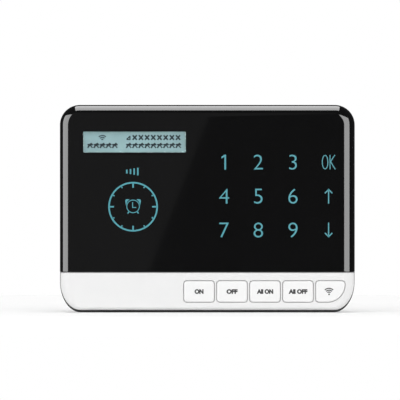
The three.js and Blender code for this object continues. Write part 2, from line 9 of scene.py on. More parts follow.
import bmesh
import bpy
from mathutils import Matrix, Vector

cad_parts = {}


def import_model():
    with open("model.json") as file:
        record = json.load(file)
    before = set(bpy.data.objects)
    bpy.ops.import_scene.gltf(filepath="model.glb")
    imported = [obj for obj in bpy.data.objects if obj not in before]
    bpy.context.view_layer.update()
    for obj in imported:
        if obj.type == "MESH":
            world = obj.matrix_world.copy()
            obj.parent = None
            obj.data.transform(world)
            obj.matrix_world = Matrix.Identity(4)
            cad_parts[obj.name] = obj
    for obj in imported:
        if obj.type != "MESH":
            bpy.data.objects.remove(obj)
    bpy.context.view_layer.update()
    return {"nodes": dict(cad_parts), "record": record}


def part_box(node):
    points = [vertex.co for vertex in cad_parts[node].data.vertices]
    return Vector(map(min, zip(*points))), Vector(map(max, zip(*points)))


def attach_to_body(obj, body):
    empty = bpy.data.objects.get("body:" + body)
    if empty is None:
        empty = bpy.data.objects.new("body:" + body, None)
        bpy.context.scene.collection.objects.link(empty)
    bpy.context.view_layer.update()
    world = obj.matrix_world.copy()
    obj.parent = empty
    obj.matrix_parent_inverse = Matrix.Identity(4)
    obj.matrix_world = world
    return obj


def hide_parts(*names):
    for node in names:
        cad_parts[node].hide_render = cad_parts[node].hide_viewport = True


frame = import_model()

MM = 0.001
CAD_SLOTS = {row["node"]: row["material_slot"] for row in frame["record"]["subparts"]}


# ---- places read from the frame ----


class Span:
    """A node's box in the panel's millimetres."""

    def __init__(self, node):
        low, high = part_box(node)
        self.left, self.right = low[0] / MM, high[0] / MM
        self.bottom, self.top = low[2] / MM, high[2] / MM
        self.back, self.front = -high[1] / MM, -low[1] / MM
        self.x = (self.left + self.right) / 2
        self.y = (self.bottom + self.top) / 2
        self.z = (self.back + self.front) / 2


COVER = Span("front_cover")
TRIM = Span("lower_trim")
HOUSING = Span("rear_housing")
BRACKET = Span("wall_bracket")
WINDOW = Span("display_window")
GLASS = Span("lcd_glass")
FACE = COVER.front
KEY_NODES = ["key_on", "key_off", "key_all_on", "key_all_off", "key_wireless"]
KEYS = {node: Span(node) for node in KEY_NODES}

# ---- sizes shared with the CAD model, in millimetres ----

CORNER = 12.5  # radius of the upper corners
EDGE_WIDE, EDGE_DEEP = 7.5, 6.0  # rounding round the front face
TRIM_CORNER = (12.8, 17.6)  # the lower corners are quarter ellipses
TRIM_LOW_EDGE = 2.2  # how far the trim's rounding reaches up from its bottom edge
WALL = 2.2
INNER_FACE = FACE - WALL
SHELL_BACK = 17.3
SEAM_GAP = 0.3
TRIM_TOP = COVER.bottom - SEAM_GAP
KEY_SKIRT = 0.55  # how far a key's skirt reaches past its cap
KEY_SLIT = 0.4
KEY_CORNER = 1.9
KEY_SWEEP = 11.0  # the last key's lower right corner

# ---- roundness of what is drawn here ----

CORNER_STEPS = 14
EDGE_STEPS = 14
CRISP = 0.35  # radius of an edge that should look sharp
RIM_BEVEL = 0.3
LENS_GAP = 0.12  # between the display window and the cover's opening


# ---- mesh building ----


def point(x, y, z):
    return Vector((x * MM, -z * MM, y * MM))


def outline(left, right, bottom, top, corners, steps=CORNER_STEPS):
    """Points round a rounded box, counter-clockwise. corners are radii or (rx, ry) pairs:
    bottom left, bottom right, top right, top left."""
    if not isinstance(corners, (list, tuple)):
        corners = [corners] * 4
    points = []
    for index, corner in enumerate(corners):
        rx, ry = corner if isinstance(corner, tuple) else (corner, corner)
        cx = left + rx if index in (0, 3) else right - rx
        cy = bottom + ry if index in (0, 1) else top - ry
        for step in range(steps + 1):
            angle = math.pi * (1 + index / 2) + math.pi / 2 * step / steps
            points.append((cx + rx * math.cos(angle), cy + ry * math.sin(angle)))
    return points


def circle(x, y, radius, sides=48):
    angles = [2 * math.pi * i / sides for i in range(sides)]
    return [(x + radius * math.cos(a), y + radius * math.sin(a)) for a in angles]


def at(points, z):
    return [(x, y, z) for x, y in points]


def new_object(name, mesh, material=None):
    thing = bpy.data.objects.new(name, mesh)
    bpy.context.scene.collection.objects.link(thing)
    if material:
        mesh.materials.append(material)
    return thing


def loft(name, loops, material=None):
    """A closed solid through loops of (x, y, z), with flat ends."""
    work = bmesh.new()
    rings = [[work.verts.new(point(*p)) for p in loop] for loop in loops]
    for a, b in zip(rings, rings[1:]):
        for i in range(len(a)):
            j = (i + 1) % len(a)
            work.faces.new((a[i], a[j], b[j], b[i]))
    work.faces.new(list(reversed(rings[0])))
    work.faces.new(rings[-1])
    bmesh.ops.recalc_face_normals(work, faces=work.faces)
    mesh = bpy.data.meshes.new(name)
    work.to_mesh(mesh)
    work.free()
    return new_object(name, mesh, material)


def turned(name, x, y, profile, sides=40):
    """A solid of revolution about an axis along z, from (radius, z) pairs."""
    return loft(name, [at(circle(x, y, max(r, 0.01), sides), z) for r, z in profile])


def box(name, x0, x1, y0, y1, z0, z1):
    ring = [(x0, y0), (x1, y0), (x1, y1), (x0, y1)]
    return loft(name, [at(ring, z0), at(ring, z1)])


def bake(thing):
    """Applies an object's modifiers to its mesh."""
    graph = bpy.context.evaluated_depsgraph_get()
    mesh = bpy.data.meshes.new_from_object(thing.evaluated_get(graph))
    thing.modifiers.clear()
    thing.data = mesh


def combine(things):
    """Joins cutters that don't touch into one mesh."""
    work = bmesh.new()
    for thing in things:
        work.from_mesh(thing.data)
        bpy.data.objects.remove(thing)
    mesh = bpy.data.meshes.new("cutters")
    work.to_mesh(mesh)
    work.free()
    return new_object("cutters", mesh)


def boolean(body, tools, operation="DIFFERENCE"):
    tool = combine(tools)
    step = body.modifiers.new("boolean", "BOOLEAN")
    step.operation = operation
    step.solver = "EXACT"
    step.object = tool
    bake(body)
    bpy.data.objects.remove(tool)
    return body


def smooth(thing):
    """Smooth shading that keeps real corners and leaves wide flat faces flat."""
    sharp_angle = 32
    mesh = thing.data
    for polygon in mesh.polygons:
        polygon.use_smooth = True
    mesh.set_sharp_from_angle(angle=math.radians(sharp_angle))
    weigh = thing.modifiers.new("weigh", "WEIGHTED_NORMAL")
    weigh.keep_sharp = True


# ---- materials ----


class Recipe:
    """A procedural Principled material."""

    def __init__(self, name, color, roughness, metallic=0.0, **sockets):
        self.material = bpy.data.materials.new(name)
        self.material.use_nodes = True
        self.tree = self.material.node_tree
        self.shader = self.tree.nodes["Principled BSDF"]
        self.shader.inputs["Base Color"].default_value = (*color, 1)
        self.shader.inputs["Roughness"].default_value = roughness
        self.shader.inputs["Metallic"].default_value = metallic
        for key, value in sockets.items():
            self.shader.inputs[key.replace("_", " ")].default_value = value
        self.place = self.tree.nodes.new("ShaderNodeTexCoord").outputs["Object"]

    def node(self, kind, **values):
        made = self.tree.nodes.new(kind)
        for key, value in values.items():
            made.inputs[key.replace("_", " ")].default_value = value
        return made

    def noise(self, scale, detail=3.0, stretch=None):
        grain = self.node("ShaderNodeTexNoise", Scale=scale, Detail=detail)
        source = self.place
        if stretch:
            mapping = self.node("ShaderNodeMapping", Scale=stretch)
            self.tree.links.new(source, mapping.inputs["Vector"])
            source = mapping.outputs["Vector"]
        self.tree.links.new(source, grain.inputs["Vector"])
        return grain.outputs["Fac"]

    def spread(self, source, low, high):
        """Maps a 0 to 1 noise to the range low to high."""
        ramp = self.node("ShaderNodeMapRange", To_Min=low, To_Max=high)
        self.tree.links.new(source, ramp.inputs["Value"])
        return ramp.outputs["Result"]

    def vary_roughness(self, scale, low, high, stretch=None):
        value = self.spread(self.noise(scale, stretch=stretch), low, high)
        self.tree.links.new(value, self.shader.inputs["Roughness"])
        return self

    def vary_color(self, scale, dark, light, stretch=None):
        ramp = self.tree.nodes.new("ShaderNodeValToRGB")
        ramp.color_ramp.elements[0].color = (*dark, 1)
        ramp.color_ramp.elements[1].color = (*light, 1)
        ramp.color_ramp.elements[0].position = 0.35
        ramp.color_ramp.elements[1].position = 0.65
        self.tree.links.new(self.noise(scale, stretch=stretch), ramp.inputs["Fac"])
        self.tree.links.new(ramp.outputs["Color"], self.shader.inputs["Base Color"])
        return self

    def bump(self, scale, strength, height=0.05, detail=3.0, stretch=None):
        bump = self.node("ShaderNodeBump", Strength=strength, Distance=height * MM)
        self.tree.links.new(self.noise(scale, detail, stretch), bump.inputs["Height"])
        self.tree.links.new(bump.outputs["Normal"], self.shader.inputs["Normal"])
        return self


def scaled(color, factor):
    return tuple(channel * factor for channel in color)


def plain(name, color, roughness, grain=900, metallic=0.0, bump=0.12, **sockets):
    """Moulded or plated stuff: slight variation of colour and roughness, and a fine grain."""
    recipe = Recipe(name, color, roughness, metallic, **sockets)
    recipe.vary_color(grain * 0.2, scaled(color, 0.94), scaled(color, 1.04))
    recipe.vary_roughness(grain * 0.3, roughness * 0.88, roughness * 1.14)
    return recipe.bump(grain, bump)


def gloss_black():
    recipe = Recipe("gloss_black", (0.0026, 0.0026, 0.0028), 0.045, IOR=1.46)
    recipe.vary_color(60, (0.0024, 0.0024, 0.0026), (0.0028, 0.0028, 0.003))
    return recipe.vary_roughness(90, 0.035, 0.055).material


def white_plastic(name, tone):
    recipe = Recipe(name, (tone, tone, tone * 0.997), 0.6, IOR=1.45)
    recipe.shader.inputs["Specular IOR Level"].default_value = 0.2
    recipe.vary_color(140, (tone * 0.99,) * 3, (tone, tone, tone * 0.998))
    recipe.vary_roughness(400, 0.52, 0.66)
    return recipe.bump(2600, 0.05, 0.02).material


def rear_plastic():
    recipe = Recipe("rear_plastic", (0.009, 0.009, 0.0095), 0.5)
    recipe.vary_color(300, (0.008, 0.008, 0.0085), (0.0105, 0.0105, 0.011))
    recipe.vary_roughness(700, 0.44, 0.58)
    return recipe.bump(2800, 0.35, 0.05, detail=4).material


def clear_lens():
    recipe = Recipe("clear_lens", (0.95, 0.98, 0.98), 0.03, IOR=1.45)
    recipe.shader.inputs["Transmission Weight"].default_value = 1.0
    return recipe.vary_roughness(120, 0.02, 0.045).material


def glowing(name, color, strength, shade=0.9):
    recipe = Recipe(name, color, 0.35)
    recipe.vary_color(160, scaled(color, shade), color)
    recipe.shader.inputs["Emission Color"].default_value = (*color, 1)
    recipe.shader.inputs["Emission Strength"].default_value = strength
    return recipe.material


def circuit_board():
    recipe = Recipe("circuit_board", (0.012, 0.11, 0.04), 0.32)
    recipe.vary_color(420, (0.008, 0.085, 0.03), (0.016, 0.13, 0.05), stretch=(1, 1, 4))
    recipe.vary_roughness(300, 0.25, 0.42)
    return recipe.bump(700, 0.2, 0.04, stretch=(4, 1, 1)).material


def plated(name, color, roughness):
    recipe = Recipe(name, color, roughness, 1.0)
    recipe.vary_color(200, scaled(color, 0.9), scaled(color, 1.05), stretch=(1, 1, 9))
    recipe.vary_roughness(500, roughness * 0.8, roughness * 1.25, stretch=(1, 1, 9))
    return recipe.bump(1500, 0.1, 0.03, stretch=(1, 1, 9)).material


MATERIALS = {
    "gloss_black": gloss_black(),
    "white_plastic": white_plastic("white_plastic", 0.88),
    "key_plastic": white_plastic("key_plastic", 0.94),
    "rear_plastic": rear_plastic(),
    "clear_lens": clear_lens(),
    # the display's glow is partly its backlight and partly painted light: emission standing in for
    # the daylight that the clear lens keeps from the panel
    "display": glowing("display", (0.212, 0.318, 0.333), 0.2),
    "legend_cyan": glowing("legend_cyan", (0.043, 0.25, 0.296), 0.4),
    "legend_grey": plain("legend_grey", (0.02, 0.02, 0.022), 0.5).material,
    "display_ink": plain(
        "display_ink", (0.004, 0.016, 0.022), 0.5, Specular_IOR_Level=0.1
    ).material,
    "bracket_steel": plated("bracket_steel", (0.62, 0.63, 0.63), 0.42),
    "plated_steel": plated("plated_steel", (0.6, 0.6, 0.6), 0.3),
    "circuit_board": circuit_board(),
    "chip_black": plain("chip_black", (0.02, 0.02, 0.021), 0.5).material,
    "diffuser": plain("diffuser", (0.8, 0.82, 0.83), 0.5).material,
    "battery_wrap": plain("battery_wrap", (0.05, 0.14, 0.32), 0.28, grain=300).material,
    "terminal_plastic": plain("terminal_plastic", (0.03, 0.25, 0.1), 0.42).material,
    "antenna_brass": plated("antenna_brass", (0.7, 0.5, 0.2), 0.28),
    "flex_film": plain("flex_film", (0.5, 0.24, 0.05), 0.25, grain=300).material,
    "rubber_boot": plain("rubber_boot", (0.02, 0.02, 0.02), 0.8, bump=0.4).material,
}


def dress_frame():
    """Every CAD node gets its slot's material."""
    for node, thing in frame["nodes"].items():
        thing.data.materials.clear()
        thing.data.materials.append(MATERIALS[CAD_SLOTS[node]])


def attach(thing, body, slot):
    """Gives a mesh its slot's material and lets it move with a body."""
    thing.data.materials.clear()
    thing.data.materials.append(MATERIALS[slot])
    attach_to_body(thing, body)


def piece(thing, body, slot, *nodes):
    """Finishes a modelled piece, and hides the CAD nodes that it replaces."""
    smooth(thing)
    attach(thing, body, slot)
    if nodes:
        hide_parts(*nodes)


# ---- front shells ----


def quarter(steps):
    """Angles from 0 to 90 degrees."""
    return [math.pi / 2 * step / steps for step in range(steps + 1)]


def fillet_inset(z, front, radius):
    """How far a small rounded edge has come in at height z."""
    over = max(0.0, z - (front - radius)) / radius
    return radius * (1 - math.sqrt(max(0.0, 1 - min(over, 1.0) ** 2)))


def cover_ring(side, seam, z):
    """The black cover's outline: its sides and top come in by side, its seam edge by seam."""
    corner = CORNER - side
    return at(
        outline(
            COVER.left + side, COVER.right - side, COVER.bottom + seam, COVER.top - side,
            [CRISP, CRISP, corner, corner],
        ),
        z,
    )


def trim_ring(side, low, seam, z):
    """The white trim's outline: sides, bottom edge and seam edge come in separately."""
    corner = (TRIM_CORNER[0] - side, TRIM_CORNER[1] - low)
    return at(
        outline(
            TRIM.left + side, TRIM.right - side, TRIM.bottom + low, TRIM_TOP - seam,
            [corner, corner, CRISP, CRISP],
        ),
        z,
    )


def shell_profile(front, wide, deep):
    """(inset, z) pairs from the straight side round to the front face."""
    base = front - deep
    return [
        (wide * (1 - math.cos(angle)), base + deep * math.sin(angle))
        for angle in quarter(EDGE_STEPS)
    ]


def front_cover():
    """The glossy shell, rounded on its top and sides, with the display's opening."""
    seam_round = 0.4
    inner = [
        cover_ring(WALL + inset, WALL, z)
        for inset, z in reversed(shell_profile(INNER_FACE, EDGE_WIDE, EDGE_DEEP))
    ]
    outer = [
        cover_ring(inset, fillet_inset(z, FACE, seam_round), z)
        for inset, z in shell_profile(FACE, EDGE_WIDE, EDGE_DEEP)
    ]
    rims = [
        cover_ring(WALL, WALL, SHELL_BACK),
        cover_ring(RIM_BEVEL, 0, SHELL_BACK),
        cover_ring(0, 0, SHELL_BACK + RIM_BEVEL),
    ]
    body = loft("cover_shell", inner + rims + outer)
    hole = outline(
        WINDOW.left - LENS_GAP, WINDOW.right + LENS_GAP,
        WINDOW.bottom - LENS_GAP, WINDOW.top + LENS_GAP, 0.5, 6,
    )
    boolean(body, [loft("hole", [at(hole, INNER_FACE - 1), at(hole, FACE + 1)])])
    piece(body, "panel", "gloss_black", "front_cover")


def key_outline(span, grow, steps=10):
    """A key's outline about its own place; the last one has a wide lower right sweep."""
    corner = KEY_CORNER + grow
    last = span is KEYS[KEY_NODES[-1]]
    sweep = KEY_SWEEP + grow if last else corner
    reach = grow - KEY_SKIRT
    return outline(
        span.left - reach, span.right + reach, span.bottom - reach, span.top + reach,
        [corner, sweep, corner, corner], steps,
    )


def key_hole(span):
    """The cutter for a key's opening, flared at the front into a small fillet."""
    lip = 0.3
    straight = key_outline(span, KEY_SLIT)
    rings = [at(straight, INNER_FACE - 2), at(straight, FACE - lip)]
    for angle in quarter(5)[1:]:
        grow = KEY_SLIT + lip * (1 - math.cos(angle))
        rings.append(at(key_outline(span, grow), FACE - lip + lip * math.sin(angle) - 0.001))
    rings.append(at(key_outline(span, KEY_SLIT + lip + 0.05), FACE + 0.5))
    return loft("hole", rings)


def lower_trim():
    """The white shell with five key openings."""
    seam_round = 0.5
    low_share = TRIM_LOW_EDGE / EDGE_WIDE
    inner = [
        trim_ring(WALL + inset, WALL + inset * low_share, WALL, z)
        for inset, z in reversed(shell_profile(INNER_FACE, EDGE_WIDE, EDGE_DEEP))
    ]
    outer = [
        trim_ring(inset, inset * low_share, fillet_inset(z, FACE, seam_round), z)
        for inset, z in shell_profile(FACE, EDGE_WIDE, EDGE_DEEP)
    ]
    rims = [
        trim_ring(WALL, WALL, WALL, SHELL_BACK),
        trim_ring(RIM_BEVEL, RIM_BEVEL, 0, SHELL_BACK),
        trim_ring(0, 0, 0, SHELL_BACK + RIM_BEVEL),
    ]
    body = loft("trim_shell", inner + rims + outer)
    boolean(body, [key_hole(span) for span in KEYS.values()])
    piece(body, "panel", "white_plastic", "lower_trim")


# ---- keys ----


def push_key(node):
    """A cushioned cap on a skirt, with a stem behind."""
    span = KEYS[node]
    skirt_back, skirt_front = INNER_FACE - 0.9, INNER_FACE - SEAM_GAP
    round_edge, crown = 0.7, 0.16
    top = span.front - crown
    rings = [
        at(key_outline(span, KEY_SKIRT), skirt_back),
        at(key_outline(span, KEY_SKIRT), skirt_front),
        at(key_outline(span, 0), skirt_front),
    ]
    for angle in quarter(7):
        inset = round_edge * (1 - math.cos(angle))
        rings.append(at(key_outline(span, -inset), top - round_edge * (1 - math.sin(angle)) * 0.8))
    edge_ring = key_outline(span, -round_edge)
    shares = (0.06, 0.14, 0.25, 0.4, 0.6)  # of the way from the edge to the middle
    for share in shares:
        ring = [(x + (span.x - x) * share, y + (span.y - y) * share) for x, y in edge_ring]
        rings.append(at(ring, top + crown * math.sin(share / shares[-1] * math.pi / 2)))
    cap = loft("cap_" + node, rings)
    stem = turned("stem", span.x, span.y, [(2, span.back), (2, skirt_back + 0.3)])
    boolean(cap, [stem], "UNION")
    piece(cap, node, "key_plastic", node)


# ---- display ----


def inset_ring(span, inset, z, corner, steps):
    """A node's box outline, drawn in by inset at height z."""
    ring = outline(
        span.left + inset, span.right - inset, span.bottom + inset, span.top - inset,
        corner, steps,
    )
    return at(ring, z)


def display():
    """The clear window and, behind it, the lit panel, whose glow is partly its backlight and partly
    painted light standing in for the daylight that the window's glass keeps from it.
    """
    window = [
        (0.0, WINDOW.back), (0.0, WINDOW.front - 0.2), (0.06, WINDOW.front - 0.06),
        (0.2, WINDOW.front - 0.02),
    ]
    lens = [inset_ring(WINDOW, inset, z, 0.4, 5) for inset, z in window]
    piece(loft("display_lens", lens), "panel", "clear_lens", "display_window")
    edge = 0.25
    glass = [
        (edge, GLASS.back), (0, GLASS.back + edge), (0, GLASS.front - edge), (edge, GLASS.front),
    ]
    # partly painted light: the panel's glow also stands in for daylight that the lens in front of it
    # would let through
    lit = [inset_ring(GLASS, inset, z, 0.5, 4) for inset, z in glass]
    piece(loft("display_panel", lit), "panel", "display", "lcd_glass")


# ---- rear housing ----

HOUSING_LOW_CORNER = (13, 19)
HOUSING_EDGE_WIDE, HOUSING_EDGE_DEEP = 8.0, 7.0
HOUSING_FLOOR = 5.0  # inner face of the back wall
STUDS = [(-44, 24), (44, 24), (-44, -22), (44, -22)]
STUD_NECK, STUD_HEAD = 2.2, 4.0
STUD_SLACK = 0.5
STUD_DROP = 8.0  # from a stud's seat down to its keyhole's round entry
TUBE_RADIUS, TUBE_TOP = 4.4, 8  # the tubes that the case screws go down
WELL_HALF, WELL_BOTTOM, WELL_TOP = 20, -34, -16
VENT_LEFT, VENT_PITCH, VENT_BOTTOM, VENT_TOP = 30, 5, 50, 56
SPEAKER_REACH, SPEAKER_PITCH = 10.5, 4
SLOT_HALF = 0.7  # half the width of a vent or speaker slot
CASE_SCREWS = [f"case_screw_{i}" for i in range(1, 8)]
SPEAKER = Span("speaker")
TAMPER = Span("tamper_plunger")
KNOB = Span("power_switch_knob")
INLET = Span("power_inlet")
SIM = Span("sim_socket")
MIC = Span("microphone")


def housing_rings(inset, floor, front):
    """Rings from the front rim back round to the flat back, then its flat."""
    rings = [at(housing_outline(inset), front)]
    for angle in quarter(EDGE_STEPS):
        come_in = HOUSING_EDGE_WIDE * (1 - math.cos(angle))
        z = floor + HOUSING_EDGE_DEEP * (1 - math.sin(angle))
        rings.append(at(housing_outline(inset + come_in), z))
    return rings


def housing_outline(inset):
    """The rear housing's outline, drawn in by inset all round."""
    low, high = tuple(radius - inset for radius in HOUSING_LOW_CORNER), CORNER - inset
    return outline(
        HOUSING.left + inset, HOUSING.right - inset, HOUSING.bottom + inset, HOUSING.top - inset,
        [low, low, high, high],
    )


def keyhole_outline(x, y, grow):
    """A round entry below a narrow slot with a round top."""
    entry, neck = STUD_HEAD + STUD_SLACK + grow, STUD_NECK + STUD_SLACK + grow
    start = math.acos(neck / entry)
    points = []
    for step in range(29):
        angle = math.pi - start + (math.pi + 2 * start) * step / 28
        points.append((x + entry * math.cos(angle), y - STUD_DROP + entry * math.sin(angle)))
    for step in range(15):
        angle = math.pi * step / 14
        points.append((x + neck * math.cos(angle), y + neck * math.sin(angle)))
    return points


def through_back(shape):
    """A cutter through the back wall with a softened mouth; shape(grow) gives its outline."""
    lip = 0.25
    return loft("hole", [
        at(shape(lip), HOUSING.back - 1), at(shape(lip), HOUSING.back),
        at(shape(0), HOUSING.back + lip), at(shape(0), HOUSING_FLOOR + 1),
    ])


def box_shape(left, right, bottom, top, corner):
    """A rounded box as a function of how far it is grown."""
    return lambda grow: outline(
        left - grow, right + grow, bottom - grow, top + grow, corner + grow, 5
    )


def cable_well():
    """The cable's way in, through the bracket and the housing alike."""
    return box_shape(-WELL_HALF, WELL_HALF, WELL_BOTTOM, WELL_TOP, 3)


def screw_bore(x, y):
    """The way in for a case screw: a wide bore with a softened mouth, then its clearance hole."""
    wide, narrow, seat = 3.3, 1.7, 6
    return turned("bore", x, y, [
        (wide + 0.2, HOUSING.back - 1), (wide + 0.2, HOUSING.back), (wide, HOUSING.back + 0.25),
        (wide, seat), (narrow, seat + 0.001), (narrow, TUBE_TOP + 1),
    ])


def back_slots():
    """The speaker's five level slots and the vent's six upright ones."""
    shapes = []
    end = SLOT_HALF - 0.05
    for row in range(-2, 3):
        reach = math.sqrt(SPEAKER_REACH**2 - (SPEAKER_PITCH * row) ** 2)
        y = SPEAKER.y + SPEAKER_PITCH * row
        shapes.append((SPEAKER.x - reach, SPEAKER.x + reach, y - SLOT_HALF, y + SLOT_HALF))
    for index in range(6):
        x = VENT_LEFT + VENT_PITCH * index
        shapes.append((x - SLOT_HALF, x + SLOT_HALF, VENT_BOTTOM, VENT_TOP))
    return [through_back(box_shape(*sides, end)) for sides in shapes]


def upright_hole(x, half_wide, z, half_deep, corner):
    """A cutter up through the housing's bottom wall."""
    ring = outline(x - half_wide, x + half_wide, z - half_deep, z + half_deep, corner, 6)
    ends = (HOUSING.bottom - 1, HOUSING.bottom + WALL + 0.5)
    return loft("hole", [[(u, y, v) for u, v in ring] for y in ends])


def knob_slot():
    """The cutter for the slider's opening in the right-hand wall."""
    above, below, half_deep = 2.5, 5.5, 1.6
    ring = outline(
        KNOB.y - below, KNOB.y + above, KNOB.z - half_deep, KNOB.z + half_deep, 0.6, 5
    )
    ends = (HOUSING.right - WALL - 2.3, HOUSING.right + 1)
    return loft("slot", [[(x, u, v) for u, v in ring] for x in ends])


def rear_housing():
    """The rear shell with its screw tubes, keyholes, cable well, slots and sockets."""
    outer = housing_rings(0, HOUSING.back, HOUSING.front)
    inner = housing_rings(WALL, HOUSING_FLOOR, HOUSING.front)
    body = loft("housing_shell", outer[::-1] + inner)
    places = [(Span(name).x, Span(name).y) for name in CASE_SCREWS]
    profile = [(TUBE_RADIUS, HOUSING_FLOOR - 0.8), (TUBE_RADIUS, TUBE_TOP)]
    boolean(body, [turned("tube", x, y, profile) for x, y in places], "UNION")
    cutters = [screw_bore(x, y) for x, y in places]
    for x, y in STUDS:
        cutters.append(through_back(lambda grow, x=x, y=y: keyhole_outline(x, y, grow)))
    cutters.append(through_back(cable_well()))
    cutters += back_slots()
    pin_hole = 2.5
    ends = [(pin_hole, HOUSING.back - 1), (pin_hole, HOUSING_FLOOR + 1)]
    cutters.append(turned("hole", TAMPER.x, TAMPER.y, ends))
    boolean(body, cutters)
    # half width, z, half depth and corner of the inlet's, the card's and the microphone's holes
    boolean(body, [
        upright_hole(INLET.x, 4.3, INLET.z, 1.8, 1.2),
        upright_hole(SIM.x, 8, INLET.z, 0.9, 0.5),
        upright_hole(MIC.x, 0.8, MIC.z, 0.8, 0.79),
        knob_slot(),
    ])
    piece(body, "panel", "rear_plastic", "rear_housing")


# ---- wall bracket ----

WALL_SCREW_COLUMNS, WALL_SCREW_ROWS = (-54, 54), (32, -30)


def wall_bracket():
    """A pressed plate with four studs, four screw slots and the cable window."""
    edge, thick, corner = 0.3, 2.4, 8
    levels = [(edge, 0), (0, edge), (0, thick - edge), (edge, thick)]
    body = loft("bracket_plate", [
        inset_ring(BRACKET, inset, z, corner - inset, CORNER_STEPS) for inset, z in levels
    ])
    neck, head, top = STUD_NECK, STUD_HEAD, BRACKET.front
    studs = [
        turned("stud", x, y, [
            (neck, thick - 0.5), (neck, top - 1.6), (head - 0.25, top - 1.6), (head, top - 1.35),
            (head, top - 0.4), (head - 0.4, top),
        ])
        for x, y in STUDS
    ]
    boolean(body, studs, "UNION")
    shapes = [cable_well()(0)]
    half_wide, half_long = 2.3, 5
    for x in WALL_SCREW_COLUMNS:
        for y in WALL_SCREW_ROWS:
            shapes.append(outline(
                x - half_wide, x + half_wide, y - half_long, y + half_long, half_wide - 0.01, 8
            ))
    boolean(body, [loft("hole", [at(shape, -1), at(shape, thick + 1.6)]) for shape in shapes])
    piece(body, "bracket", "bracket_steel", "wall_bracket")


# ---- small hardware ----


def case_screw(node):
    """A pan head with a cross recess, facing the wall."""
    span = Span(node)
    x, y, back = span.x, span.y, span.back
    body = turned("screw_" + node, x, y, [
        (0.6, back), (1.6, back + 0.08), (2.4, back + 0.4), (2.8, back + 0.9), (2.9, back + 1.4),
        (2.9, back + 1.8), (1.25, back + 1.8), (1.25, span.front - 1), (0.6, span.front),
    ])
    arm, half = 1.65, 0.32
    cross = [
        (x - arm, y - half), (x - half, y - half), (x - half, y - arm), (x + half, y - arm),
        (x + half, y - half), (x + arm, y - half), (x + arm, y + half), (x + half, y + half),
        (x + half, y + arm), (x - half, y + arm), (x - half, y + half), (x - arm, y + half),
    ]
    boolean(body, [loft("cross", [at(cross, back - 1), at(cross, back + 1)])])
    piece(body, "panel", "plated_steel", node)


def tamper_plunger():
    """A round-ended pin with a flange inside."""
    x, y, back, front = TAMPER.x, TAMPER.y, TAMPER.back, TAMPER.front
    body = turned("tamper_pin", x, y, [
        (0.5, back), (1.2, back + 0.05), (1.7, back + 0.3), (2, back + 0.8), (2, front - 0.9),
        (3.2, front - 0.9), (3.2, front),
    ])
    piece(body, "tamper_pin", "rear_plastic", "tamper_plunger")


def power_knob():
    """A slider knob with three finger grooves."""
    rings = [
        [(x, u, v) for u, v in outline(
            KNOB.bottom + i, KNOB.top - i, KNOB.back + i, KNOB.front - i, 0.35, 4)]
        for x, i in ((KNOB.left, 0), (KNOB.right - 0.25, 0), (KNOB.right, 0.25))
    ]
    body = loft("slider_knob", rings)
    boolean(body, [
        loft("groove", [
            [(KNOB.right - 0.4, y - 0.12, z), (KNOB.right + 1, y - 0.5, z),
             (KNOB.right + 1, y + 0.5, z), (KNOB.right - 0.4, y + 0.12, z)]
            for z in (KNOB.back - 1, KNOB.front + 1)
        ])
        for y in (KNOB.y - 1, KNOB.y, KNOB.y + 1)
    ])
    piece(body, "power_knob", "rear_plastic", "power_switch_knob")


def terminal_screws():
    """The clamp screws seen through the cable well."""
    block = Span("terminal_block")
    count, pitch, radius = 6, 5, 1.35
    y, back = block.y + 1.8, block.back
    profile = [(radius - 0.25, back + 0.7), (radius, back + 0.9), (radius, back + 2.15)]
    for index in range(count):
        x = block.x + (index - (count - 1) / 2) * pitch
        body = turned(f"terminal_screw_{index + 1}", x, y, profile, 24)
        boolean(body, [box("slot", x - 2, x + 2, y - 0.2, y + 0.2, back, back + 1.2)])
        piece(body, "panel", "plated_steel")


# ---- printed marks ----


PRINT_THICK = 0.03


class Print:
    """Flat printed marks gathered into one thin solid."""

    def __init__(self, name, z):
        self.name, self.back, self.front = name, z, z + PRINT_THICK
        self.work = bmesh.new()

    def corner(self, place, z):
        return self.work.verts.new(point(*place, z))

    def shape(self, points):
        """A filled convex outline."""
        back = [self.corner(place, self.back) for place in points]
        front = [self.corner(place, self.front) for place in points]
        self.work.faces.new(back[::-1])
        self.work.faces.new(front)
        for i in range(len(points)):
            j = (i + 1) % len(points)
            self.work.faces.new((back[i], back[j], front[j], front[i]))

    def line(self, points, width, closed=False):
        """A band of even width along points, with mitred joints and square ends."""
        count = len(points)
        stations = []
        for i in range(count):
            ways = []
            if closed or i:
                ways.append(Vector(points[i]) - Vector(points[i - 1]))
            if closed or i < count - 1:
                ways.append(Vector(points[(i + 1) % count]) - Vector(points[i]))
            normals = [Vector((-way.y, way.x)).normalized() for way in ways]
            normal = sum(normals, Vector((0, 0))).normalized()
            side = normal * (width / 2 / max(normal.dot(normals[0]), 0.4))
            left, right = Vector(points[i]) + side, Vector(points[i]) - side
            stations.append([
                self.corner(left, self.back), self.corner(right, self.back),
                self.corner(right, self.front), self.corner(left, self.front),
            ])
        for i in range(count if closed else count - 1):
            here, there = stations[i], stations[(i + 1) % count]
            for a in range(4):
                b = (a + 1) % 4
                self.work.faces.new((here[a], here[b], there[b], there[a]))
        if not closed:
            self.work.faces.new(stations[0])
            self.work.faces.new(stations[-1][::-1])

    def arc(self, x, y, radius, start, end, width, steps=24):
        """A circular band from start to end degrees."""
        whole = abs(end - start) >= 360
        angles = [
            math.radians(start + (end - start) * i / steps) for i in range(steps + (not whole))
        ]
        path = [(x + radius * math.cos(a), y + radius * math.sin(a)) for a in angles]
        self.line(path, width, closed=whole)

    def make(self, body, slot):
        bmesh.ops.recalc_face_normals(self.work, faces=self.work.faces)
        mesh = bpy.data.meshes.new(self.name)
        self.work.to_mesh(mesh)
        self.work.free()
        attach(new_object(self.name, mesh), body, slot)


